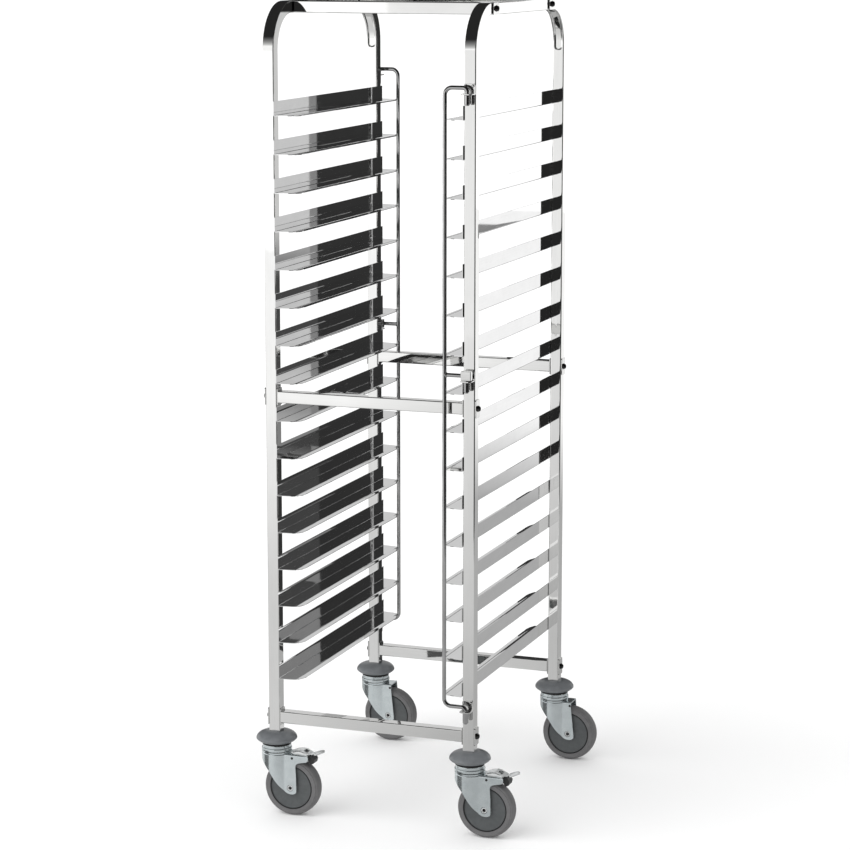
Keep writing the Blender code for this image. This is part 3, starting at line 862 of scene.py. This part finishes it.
def fork_shell(name, inset, reach, low, top, fold):
    """Solid under a folded top edge; fold is the outside radius of the fold."""
    def build(bm, layer):
        rings = [[upright(p.x, p.y, low) for p in fork_plan(inset, reach)]]
        for step in range(6):
            angle = math.radians(90) * step / 5
            cut = fold * (1 - math.cos(angle))
            z = top - fold + fold * math.sin(angle)
            rings.append([upright(p.x, p.y, z) for p in fork_plan(inset + cut, reach)])
        skin(bm, layer, rings, caps=True)
    return mesh_from(name, build)


def fork_side(braked):
    """Outline of the fork seen from the side, as (x, z)."""
    front = [Vector((-0.034, FORK_TOP + 0.001)), Vector((-0.034, 0.1262))]
    front += curve_through([(-0.0335, 0.1262), (-0.0285, 0.1225), (-0.007, 0.100), (0.010, 0.0745),
                            (0.0245, 0.0565), (0.0320, 0.0508), (0.0400, 0.0490), (0.0470, 0.0498),
                            (0.0523, 0.0535), (0.0530, 0.0600)], 5)
    if not braked:
        rear = [(0.0500, 0.0900), (0.0478, 0.110), (FORK_REAR_X, 0.1300)]
        return front + [Vector(p) for p in rear] + [Vector((FORK_REAR_X, FORK_TOP + 0.001))]
    inner = curve_through([(0.0524, 0.0900), (0.0513, 0.1090), (0.0522, 0.1150), (0.0565, 0.1190),
                           (0.0640, 0.1212), (0.0755, 0.1236)], 5)
    tip = curve_through([(0.0755, 0.1236), (0.0788, 0.1258), (0.0806, 0.1310), (0.0800, 0.1355)], 4)
    edge = curve_through([(0.0800, 0.1355), (0.0700, 0.1368), (0.0560, 0.1378)], 3)
    return front + inner + tip[1:] + edge[1:] + [Vector((FORK_REAR_X, FORK_TOP + 0.001))]


def fork_mesh(braked):
    reach = 0.1
    shell = fork_shell("shell", 0.0, reach, 0.03, FORK_TOP, 0.0032)
    side = slab("side", fork_side(braked), sideways, -0.05, 0.05)
    hollow = fork_shell("hollow", FORK_SHEET, reach + 0.01, 0.0, FORK_TOP - FORK_SHEET, 0.0010)
    bore = turned("bore", [(0, 0.12), (0.0085, 0.12), (0.0085, 0.15), (0, 0.15)], 48, upright)
    axle_hole = turned("axle_hole", [(0, -0.05), (0.0070, -0.05), (0.0070, 0.05), (0, 0.05)], 40,
                       lambda a, b, h: Vector((AXLE_X + a, h, WHEEL_CENTRE_Z + b)))
    steps = [("INTERSECT", side), ("DIFFERENCE", hollow), ("DIFFERENCE", bore),
             ("DIFFERENCE", axle_hole)]
    if braked:
        half = FORK_HALF - FORK_SHEET
        mouth = slab("mouth", [(FORK_REAR_X, -half), (reach, -half), (reach, half), (FORK_REAR_X, half)],
                     upright, 0.1, 0.15)
        steps.append(("DIFFERENCE", mouth))
    return combined("braked_fork_sheet" if braked else "plain_fork_sheet", shell, steps)


def lower_race_mesh():
    profile = [(0.0088, FORK_TOP - 0.001), (0.0300, FORK_TOP - 0.001), (0.0318, FORK_TOP - 0.0008),
               (0.0322, FORK_TOP + 0.0004), (0.0322, 0.1396), (0.0317, 0.1403), (0.0088, 0.1403)]
    return turned("lower_race", profile, 80, upright, closed=True)


def axle_mesh():
    """Hollow axle tube with a rounded, slightly sunk lip at each end."""
    end = FORK_HALF - 0.0002
    side = [(0.0038, 0.0), (0.0038, end - 0.0014), (0.0042, end - 0.0004), (0.0050, end),
            (0.0059, end - 0.0001), (0.0062, end - 0.0006), (0.0062, end - 0.0040), (0.0054, end - 0.0050),
            (0.0054, 0.0)]
    ring = side[:-1] + [(0.0054, -end + 0.0050)]
    ring += [(r, -h) for r, h in side[-3:0:-1]]
    return turned("axle_tube", ring, 48, lambda a, b, h: Vector((a, h, b)), closed=True)


def axle_screw_mesh(facing):
    """Dark socket head of the axle bolt, sunk inside the tube's end."""
    end = FORK_HALF - 0.0026
    profile = [(0, end - 0.005), (0.0037, end - 0.005), (0.0037, end - 0.0006), (0.0033, end),
               (0.0022, end), (0.0021, end - 0.0022), (0, end - 0.0022)]
    return turned("axle_screw", profile, 32, lambda a, b, h: Vector((a, facing * h, b)))


def tyre_mesh():
    half = WHEEL_HALF
    side = [(0.0480, half - 0.0040), (0.0482, half - 0.0005), (0.0487, half), (0.0552, half),
            (0.0566, half - 0.0004), (0.0572, half - 0.0014), (0.0578, half - 0.0022),
            (0.0592, half - 0.0027), (0.0606, half - 0.0040), (0.0616, half - 0.0064),
            (0.0622, half - 0.0100), (0.0625, half - 0.0140), (0.0625, 0.0)]
    profile = side + [(r, -h) for r, h in side[-2::-1]]
    return turned("tyre", profile, 128, lambda a, b, h: Vector((a, h, b)), closed=True, sharp=22)


def disc_mesh():
    half = WHEEL_HALF
    side = [(0.0056, half), (0.0128, half), (0.0138, half - 0.0004), (0.0146, half - 0.0018),
            (0.0158, half - 0.0024), (0.0300, half - 0.0026), (0.0440, half - 0.0022),
            (0.0450, half - 0.0018), (0.0454, half - 0.0008), (0.0457, half - 0.0008),
            (0.0459, half - 0.0014), (0.0460, half - 0.0040)]
    profile = side + [(r, -h) for r, h in side[::-1]]
    return turned("wheel_disc", profile, 128, lambda a, b, h: Vector((a, h, b)), closed=True, sharp=22)


def wheel_ring_mesh(facing):
    half = WHEEL_HALF
    profile = [(0.0458, half - 0.0030), (0.0458, half - 0.0011), (0.0463, half - 0.0004),
               (0.0478, half - 0.0004), (0.0483, half - 0.0011), (0.0483, half - 0.0030)]
    return turned("wheel_ring", profile, 128, lambda a, b, h: Vector((a, facing * h, b)), closed=True)


def pedal_mesh():
    """Folded lever with a window and a leaf-shaped tip; the pivot is at the origin."""
    line = curve_through([(-0.030, 0.0115), (-0.020, 0.0148), (-0.008, 0.0172), (0.002, 0.0152),
                          (0.012, 0.0108), (0.019, 0.0092), (0.032, 0.0108), (0.0445, 0.0148)], 6)
    widths = {-0.030: 0.0105, -0.024: 0.0150, 0.010: 0.0150, 0.018: 0.0070, 0.022: 0.0070,
              0.027: 0.0165, 0.034: 0.0185, 0.041: 0.0125, 0.0445: 0.0024}
    keys = sorted(widths)

    def half_width(x):
        for a, b in zip(keys, keys[1:]):
            if x <= b:
                t = max(0.0, min(1.0, (x - a) / (b - a)))
                t = t * t * (3 - 2 * t)
                return widths[a] + (widths[b] - widths[a]) * t
        return widths[keys[-1]]

    sheet = 0.0016

    def build(bm, layer):
        rings = []
        for i, point in enumerate(line):
            ahead = line[min(i + 1, len(line) - 1)] - line[max(i - 1, 0)]
            normal = Vector((-ahead.y, ahead.x)).normalized()
            half = half_width(point.x)
            ring = []
            for side in (1, -1):
                shares = [k / 8 for k in range(-8, 9)]
                for share in (shares if side == 1 else shares[::-1]):
                    curl = 0.0022 * share * share if point.x > 0.020 else 0.0
                    sag = -0.0012 * share ** 4 if point.x <= 0.012 else 0.0
                    spot = point + normal * (side * sheet / 2 + curl + sag)
                    ring.append(Vector((spot.x, share * half, spot.y)))
            rings.append(ring)
        skin(bm, layer, rings, caps=True)
    blade = mesh_from("blade", build)
    window = slab("window", rounded_rectangle(0.0048, 0.0085, 0.0015), upright, -0.01, 0.03)
    window.transform(Matrix.Translation((0.0035, 0, 0)))
    cut = combined("blade_cut", blade, [("DIFFERENCE", window)])
    ear = rounded_polygon([(-0.028, 0.0120), (-0.020, 0.0085), (-0.008, -0.0020), (0.000, -0.0046),
                           (0.0055, -0.0030), (0.0110, 0.0080), (0.002, 0.0155), (-0.008, 0.0172),
                           (-0.020, 0.0150)], [0.001, 0.004, 0.004, 0.004, 0.003, 0.002, 0.003,
                                               0.004, 0.003], 4)
    ears = []
    for sign in (-1, 1):
        ears.append(slab("ear", ear, sideways, min(sign * 0.0134, sign * 0.0150),
                         max(sign * 0.0134, sign * 0.0150), 0.0004))
    pin_half = FORK_HALF - 0.0003
    pin = turned("pin", [(0, -pin_half), (0.0024, -pin_half), (0.0024, pin_half), (0, pin_half)], 24,
                 lambda a, b, h: Vector((a, h, b)))
    return joined("pedal_lever", [cut, *ears, pin])


def shoe_mesh():
    """Dark brake block under the lever."""
    outline = rounded_polygon([(0.0100, 0.0060), (0.0104, -0.0040), (0.0175, -0.0122), (0.0235, -0.0092),
                               (0.0252, -0.0010), (0.0205, 0.0070)],
                              [0.0008, 0.0010, 0.0008, 0.0008, 0.0010, 0.0008], 3)
    return slab("brake_shoe", outline, sideways, -0.0120, 0.0120, 0.0008)


def rivet_mesh():
    profile = [(0, 0), (0.0026, 0), (0.0027, 0.0004), (0.0022, 0.0009), (0.0011, 0.0012), (0, 0.0012)]
    return turned("fork_rivet", profile, 28, lambda a, b, h: Vector((a, h, b)))


def make_casters():
    bumper, race, seal = bumper_mesh(), race_mesh(), seal_mesh()
    lower = lower_race_mesh()
    axle = axle_mesh()
    screws = joined("axle_screws", [axle_screw_mesh(-1), axle_screw_mesh(1)])
    tyre, disc = tyre_mesh(), disc_mesh()
    rings = joined("wheel_rings", [wheel_ring_mesh(-1), wheel_ring_mesh(1)])
    pedal, shoe, rivet = pedal_mesh(), shoe_mesh(), rivet_mesh()
    forks = {"front": fork_mesh(True), "rear": fork_mesh(False)}
    half = TUBE / 2 - WALL - 0.0005
    stem = slab("stem_bar", rounded_rectangle(half, half, 0.001), upright, 0.1830, 0.2049, 0.0006)
    rivets = [(rivet, Matrix.Translation((0.0435, FORK_HALF, 0.1296))),
              (rivet, Matrix.Translation((0.0435, -FORK_HALF, 0.1296)) @ Matrix.Rotation(math.pi, 4, "Z"))]
    rivet_pair = joined("fork_rivets", rivets)
    for end, y in (("front", -POST_Y), ("rear", POST_Y)):
        for side in ("left", "right"):
            corner = f"{end}_{side}"
            x = POST_X[side]
            at = (x, y, 0)
            hub = (x + AXLE_X, y, (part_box(f"{corner}_wheel")[0].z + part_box(f"{corner}_wheel")[1].z) / 2)
            caster, wheel = f"{corner}_caster", f"{corner}_wheel_set"
            add(f"{corner}_bumper", bumper, "bumper", "rack",
                [f"{corner}_caster_stem"], at)
            add(f"{corner}_stem_bar", stem, "zinc", "rack", (), at)
            add(f"{corner}_seal_ring", seal, "black", "rack", (), at)
            add(f"{corner}_upper_race", race, "zinc", "rack", (), at)
            add(f"{corner}_fork_sheet", forks[end], "zinc", caster,
                [f"{corner}_caster_fork"], at)
            add(f"{corner}_lower_race", lower, "zinc", caster, (), at)
            add(f"{corner}_axle_tube", axle, "pedal", caster, (), hub)
            add(f"{corner}_axle_screws", screws, "screw", caster, (), hub)
            add(f"{corner}_fork_rivets", rivet_pair, "screw", caster, (), at)
            add(f"{corner}_tyre", tyre, "tyre", wheel, [f"{corner}_wheel"], hub)
            add(f"{corner}_wheel_disc", disc, "disc", wheel, (), hub)
            add(f"{corner}_wheel_rings", rings, "black", wheel, (), hub)
            if end == "front":
                pivot = (x + 0.066, y, 0.129)
                brake = f"{corner}_brake"
                add(f"{corner}_pedal_lever", pedal, "pedal", brake,
                    [f"{corner}_brake_pedal"], pivot)
                add(f"{corner}_brake_shoe", shoe, "shoe", brake, (), pivot)


# ---- Studio -------------------------------------------------------------------------------
def plain_material(name, colour, roughness):
    look = Look(name, 0.0)
    cloud = look.noise((0.6, 0.6), 3.0)
    light = tuple(min(1.0, c * 1.01) for c in colour)
    return look.finish(look.mix(look.span(cloud, 0.0, 1.0), colour, light), roughness)


# Cards show only in reflections. They are fixed round the rack, in metres from its centre.
FLOOR_REACH = 400.0
FLOOR_CARD_Z = 0.012
FLOOR_SPLIT_Y = 0.28
BACK_Y = 2.5
INSIDE_Y = 0.9
INSIDE_EDGE, INSIDE_STEP, INSIDE_END = 0.198, 0.219, 0.36
INSIDE_TOP = 1.72
NEAR_BLACK = 0.032
RING_RADIUS = 3.2
FORK_SHADE_RADIUS = 0.09

# The pitched camera that comes nearest to the level, shifted one fitted to the photograph.
CAMERA_PLACE = (2.0312, -5.5024, 1.8785)
CAMERA_YAW = math.radians(20.156)
CAMERA_PITCH = math.radians(10.282)
CAMERA_LENS = 115.435


def card(name, corners, level, axis=0, fade=None):
    """Flat studio card that only shows in reflections.

    With fade = (start, stop, other), its brightness runs from level at start to other at stop
    along a world axis.
    """
    mesh = bpy.data.meshes.new(name)
    mesh.from_pydata(corners, [], [(0, 1, 2, 3)])
    material = bpy.data.materials.new(name)
    material.use_nodes = True
    tree = material.node_tree
    tree.nodes.clear()
    glow = tree.nodes.new("ShaderNodeEmission")
    if fade is None:
        glow.inputs["Color"].default_value = (level, level, level, 1.0)
    else:
        tree.links.new(along_world(tree, axis, fade[0], fade[1], level, fade[2]), glow.inputs["Color"])
    return finish_card(name, mesh, material, glow)


def along_world(tree, axis, start, stop, first, last):
    """A value that runs from first to last between two places on a world axis."""
    place = tree.nodes.new("ShaderNodeNewGeometry")
    split = tree.nodes.new("ShaderNodeSeparateXYZ")
    tree.links.new(place.outputs["Position"], split.inputs[0])
    span = tree.nodes.new("ShaderNodeMapRange")
    span.inputs["From Min"].default_value = start
    span.inputs["From Max"].default_value = stop
    span.inputs["To Min"].default_value = first
    span.inputs["To Max"].default_value = last
    tree.links.new(split.outputs[axis], span.inputs["Value"])
    return span.outputs["Result"]


def finish_card(name, mesh, material, glow):
    tree = material.node_tree
    out = tree.nodes.new("ShaderNodeOutputMaterial")
    tree.links.new(glow.outputs[0], out.inputs["Surface"])
    mesh.materials.append(material)
    item = bpy.data.objects.new(name, mesh)
    bpy.context.scene.collection.objects.link(item)
    item.visible_camera = False
    item.visible_diffuse = False
    item.visible_shadow = False
    item.visible_transmission = False
    material.cycles.emission_sampling = "NONE"
    return item


def floor_card(name, corners, left, right):
    """Floor sheet whose grey grows away from the rack; left and right list (distance, level)."""
    mesh = bpy.data.meshes.new(name)
    mesh.from_pydata(corners, [], [(0, 1, 2, 3)])
    material = bpy.data.materials.new(name)
    material.use_nodes = True
    tree = material.node_tree
    tree.nodes.clear()
    ramps = []
    for stops in (left, right):
        ramp = tree.nodes.new("ShaderNodeValToRGB")
        ramp.color_ramp.elements[0].position = stops[0][0] / 10
        ramp.color_ramp.elements[0].color = (*[stops[0][1]] * 3, 1.0)
        ramp.color_ramp.elements[1].position = stops[-1][0] / 10
        ramp.color_ramp.elements[1].color = (*[stops[-1][1]] * 3, 1.0)
        for distance, level in stops[1:-1]:
            ramp.color_ramp.elements.new(distance / 10).color = (level, level, level, 1.0)
        tree.links.new(along_world(tree, 1, 0.0, -10.0, 0.0, 1.0), ramp.inputs["Fac"])
        ramps.append(ramp.outputs["Color"])
    slant = tree.nodes.new("ShaderNodeMath")
    slant.operation = "MULTIPLY_ADD"
    tree.links.new(along_world(tree, 1, -10.0, 10.0, -10.0, 10.0), slant.inputs[0])
    slant.inputs[1].default_value = -0.365
    tree.links.new(along_world(tree, 0, -20.0, 20.0, -20.0, 20.0), slant.inputs[2])
    side = tree.nodes.new("ShaderNodeMapRange")
    side.inputs["From Min"].default_value = -0.15
    side.inputs["From Max"].default_value = 0.35
    tree.links.new(slant.outputs[0], side.inputs["Value"])
    blend = tree.nodes.new("ShaderNodeMix")
    blend.data_type = "RGBA"
    colours = [socket for socket in blend.inputs if socket.type == "RGBA"]
    tree.links.new(side.outputs["Result"], blend.inputs[0])
    for socket, ramp in zip(colours, ramps):
        tree.links.new(ramp, socket)
    glow = tree.nodes.new("ShaderNodeEmission")
    tree.links.new(next(o for o in blend.outputs if o.type == "RGBA"), glow.inputs["Color"])
    return finish_card(name, mesh, material, glow)


def wall(start, stop, low, high):
    """Corners of an upright card between two places on the floor."""
    return [(*start, low), (*stop, low), (*stop, high), (*start, high)]


def sheet(x_low, x_high, y_low, y_high, z):
    """Corners of a level card."""
    return [(x_low, y_low, z), (x_high, y_low, z), (x_high, y_high, z), (x_low, y_high, z)]


def bearings(centre, radius, angles):
    """Places on a circle round centre, at angles in degrees from +Y towards +X."""
    turns = [math.radians(angle) for angle in angles]
    return [(centre[0] + radius * math.sin(turn), centre[1] + radius * math.cos(turn))
            for turn in turns]


def make_studio():
    world = bpy.data.worlds.new("studio_world")
    world.use_nodes = True
    world.node_tree.nodes["Background"].inputs["Color"].default_value = (1.0, 1.0, 1.0, 1.0)
    world.node_tree.nodes["Background"].inputs["Strength"].default_value = 1.0
    bpy.context.scene.world = world

    mesh = bpy.data.meshes.new("floor")
    mesh.from_pydata(sheet(-FLOOR_REACH, FLOOR_REACH, -FLOOR_REACH, FLOOR_REACH, 0), [], [(0, 1, 2, 3)])
    mesh.uv_layers.new(name=GRAIN)
    mesh.materials.append(plain_material("pale_floor", (0.96, 0.96, 0.96), 0.75))
    floor = bpy.data.objects.new("floor", mesh)
    bpy.context.scene.collection.objects.link(floor)

    x = CENTRE_X

    def strip(name, left, right, low, high, level, *fade):
        card(name, wall((x + left, INSIDE_Y), (x + right, INSIDE_Y), low, high), level, *fade)

    # Strips behind the rack, seen in the runners' flanges: (left edge, right edge, low, high).
    strip("inside_dark", -0.10, INSIDE_EDGE, 0.0, INSIDE_TOP, NEAR_BLACK)
    strip("inside_step", INSIDE_EDGE, INSIDE_STEP, 1.0, INSIDE_TOP, 0.24)
    strip("inside_grey", INSIDE_STEP, INSIDE_END, 1.0, INSIDE_TOP, 0.06, 2, (1.0, 1.14, 0.60))
    strip("inside_middle", INSIDE_EDGE, INSIDE_END, 0.72, 1.0, 0.06)
    strip("inside_foot", INSIDE_EDGE, INSIDE_END, 0.56, 0.72, 0.22)
    strip("inside_low", INSIDE_EDGE, INSIDE_END, 0.0, 0.56, NEAR_BLACK)

    # Cards further back, overhead and round the camera.
    card("back_left", wall((x - 5.0, BACK_Y), (x + 0.45, BACK_Y), 0.0, 1.74), 0.62)
    card("back_band", wall((x - 1.7, BACK_Y), (x - 0.3, BACK_Y), 1.75, 1.88), 0.02, 0,
         (x - 1.27, x - 0.70, 0.42))
    card("high_dark", wall((x + 2.20, 6.0), (x + 2.42, 6.0), 1.6, 3.0), 0.08)
    card("window_bar", wall((x + 1.38, 3.74), (x + 1.60, 3.74), 0.79, 0.84), 0.24)
    card("ceiling_card", sheet(-8, 8, -12.0, 8, 3.6), 0.85, 1, (-12.0, -3.5, 0.02))
    card("camera_end_card", wall((0.9, -5.8), (3.6, -5.8), 0.0, 1.8), 0.02)
    card("camera_floor_card",
         [(0.5, -5.8, 0.02), (3.0, -5.8, 0.02), (2.2, -3.6, 0.02), (0.3, -3.6, 0.02)], 0.03)
    card("front_left_card", wall((x - 2.6, -7.0), (x - 1.2, -7.0), 0.0, 2.4), 0.87)

    # The floor as the steel sees it: each pair is (distance forward of the rack, grey level).
    floor_card("front_floor_card", sheet(-9, 9, -9.9, FLOOR_SPLIT_Y, FLOOR_CARD_Z),
               ((1.2, 0.64), (2.1, 0.66), (3.4, 0.84), (5.2, 0.98)),
               ((0.9, 0.44), (2.0, 0.60), (3.2, 0.66), (4.7, 0.74), (8.0, 0.86)))
    card("back_floor_card", sheet(-3, 9, FLOOR_SPLIT_Y, 12.0, FLOOR_CARD_Z), 0.42, 1,
         (2.9, 4.4, 0.97))

    # Dark cards in a ring round the rack, and a small one beside each caster fork.
    for k, angles in enumerate(((36, 86), (94, 152), (154, 184), (304, 334))):
        corners = bearings((0.0, 0.0), RING_RADIUS, angles)
        card(f"side_card_{k + 1}", wall(*corners, 0.0, 2.6), 0.02)
    for end, y in (("front", -POST_Y), ("rear", POST_Y)):
        for side in ("left", "right"):
            spots = bearings((POST_X[side], y), FORK_SHADE_RADIUS, (214, 254))
            card(f"{end}_{side}_fork_shade", wall(*spots, 0.03, 0.125), 0.08)

    sun = bpy.data.lights.new("soft_key", "SUN")
    sun.energy = 1.3
    sun.angle = math.radians(70)
    key = bpy.data.objects.new("soft_key", sun)
    key.location = (-2.4, -3.2, 3.3)
    key.rotation_euler = (Vector((0, 0, 0.7)) - key.location).to_track_quat("-Z", "Y").to_euler()
    key.visible_glossy = False
    bpy.context.scene.collection.objects.link(key)


def make_camera():
    data = bpy.data.cameras.new("camera")
    data.sensor_width = 36.0
    data.lens = CAMERA_LENS
    data.clip_start = 0.1
    data.clip_end = 200.0
    camera = bpy.data.objects.new("camera", data)
    camera.location = (CAMERA_PLACE[0] + CENTRE_X, *CAMERA_PLACE[1:])
    camera.rotation_euler = (math.radians(90) - CAMERA_PITCH, 0.0, CAMERA_YAW)
    bpy.context.scene.collection.objects.link(camera)
    bpy.context.scene.camera = camera
    bpy.context.scene.view_settings.view_transform = "Standard"


make_camera()
make_side_frames()
make_rails()
make_runners()
make_swing_bars()
make_casters()
make_studio()
